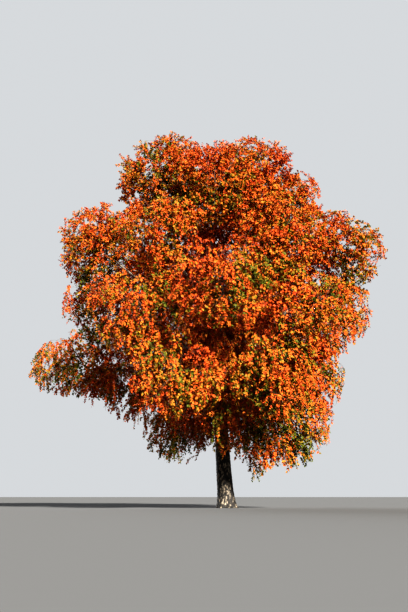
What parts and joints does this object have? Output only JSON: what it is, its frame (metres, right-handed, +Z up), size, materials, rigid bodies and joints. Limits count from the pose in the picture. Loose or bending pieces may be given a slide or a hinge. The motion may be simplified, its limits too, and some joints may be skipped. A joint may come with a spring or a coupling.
{
  "type": "birch tree",
  "caption": "Whole silver birch in autumn leaf, with a leaning trunk, tapering boughs and weeping masses of orange leaf sprays, cut flat at the ground.",
  "frame": {"origin": "middle of the flat cut under the trunk, at ground level", "axes": "+Z up the trunk, +X to the right and +Y to the back of the tree as the picture shows it"},
  "size_m": [12.7967, 12.1378, 13.8426],
  "materials": {
    "bark": "rough, fissured, near-black bark with pale patches",
    "pale_bark": "thin pale tan bark on the limbs",
    "leaves_orange": "thin matt leaves, orange",
    "leaves_amber": "thin matt leaves, amber",
    "leaves_russet": "thin matt leaves, russet",
    "leaves_olive": "thin matt leaves, olive"
  },
  "bodies": {
    "root": {"trunk": "bark", "bough_top_right": "pale_bark", "bough_top_front": "pale_bark", "bough_top_back": "pale_bark", "bough_shoulder_right": "pale_bark", "bough_right_upper": "pale_bark", "bough_left_upper": "pale_bark", "bough_front_right_upper": "pale_bark", "bough_front_left_upper": "pale_bark", "bough_back_right_upper": "pale_bark", "bough_back_left_upper": "pale_bark", "bough_right_mid": "pale_bark", "bough_left_mid": "pale_bark", "bough_front_mid": "pale_bark", "bough_front_right_mid": "pale_bark", "bough_front_left_mid": "pale_bark", "bough_back_mid": "pale_bark", "bough_back_right_mid": "pale_bark", "bough_back_left_mid": "pale_bark", "bough_right_low": "pale_bark", "bough_left_arm": "pale_bark", "bough_left_low": "pale_bark", "bough_front_low_right": "pale_bark", "bough_front_low_middle": "pale_bark", "bough_front_low_left": "pale_bark", "bough_back_low_right": "pale_bark", "bough_back_low_left": "pale_bark", "bough_right_skirt": "pale_bark", "bough_left_skirt": "pale_bark", "bough_centre_skirt": "pale_bark", "foliage_top_left": "leaves_orange", "foliage_top_right": "leaves_orange", "foliage_top_front": "leaves_orange", "foliage_top_back": "leaves_russet", "foliage_shoulder_right": "leaves_orange", "foliage_right_upper": "leaves_russet", "foliage_left_upper": "leaves_orange", "foliage_front_right_upper": "leaves_orange", "foliage_front_left_upper": "leaves_orange", "foliage_back_right_upper": "leaves_russet", "foliage_back_left_upper": "leaves_amber", "foliage_right_mid": "leaves_orange", "foliage_left_mid": "leaves_russet", "foliage_front_mid": "leaves_orange", "foliage_front_right_mid": "leaves_orange", "foliage_front_left_mid": "leaves_amber", "foliage_back_mid": "leaves_orange", "foliage_back_right_mid": "leaves_amber", "foliage_back_left_mid": "leaves_orange", "foliage_right_low": "leaves_orange", "foliage_left_arm": "leaves_orange", "foliage_left_low": "leaves_amber", "foliage_front_low_right": "leaves_orange", "foliage_front_low_middle": "leaves_amber", "foliage_front_low_left": "leaves_amber", "foliage_back_low_right": "leaves_olive", "foliage_back_low_left": "leaves_amber", "foliage_right_skirt": "leaves_orange", "foliage_left_skirt": "leaves_olive", "foliage_centre_skirt": "leaves_olive"}
  },
  "joints": []
}
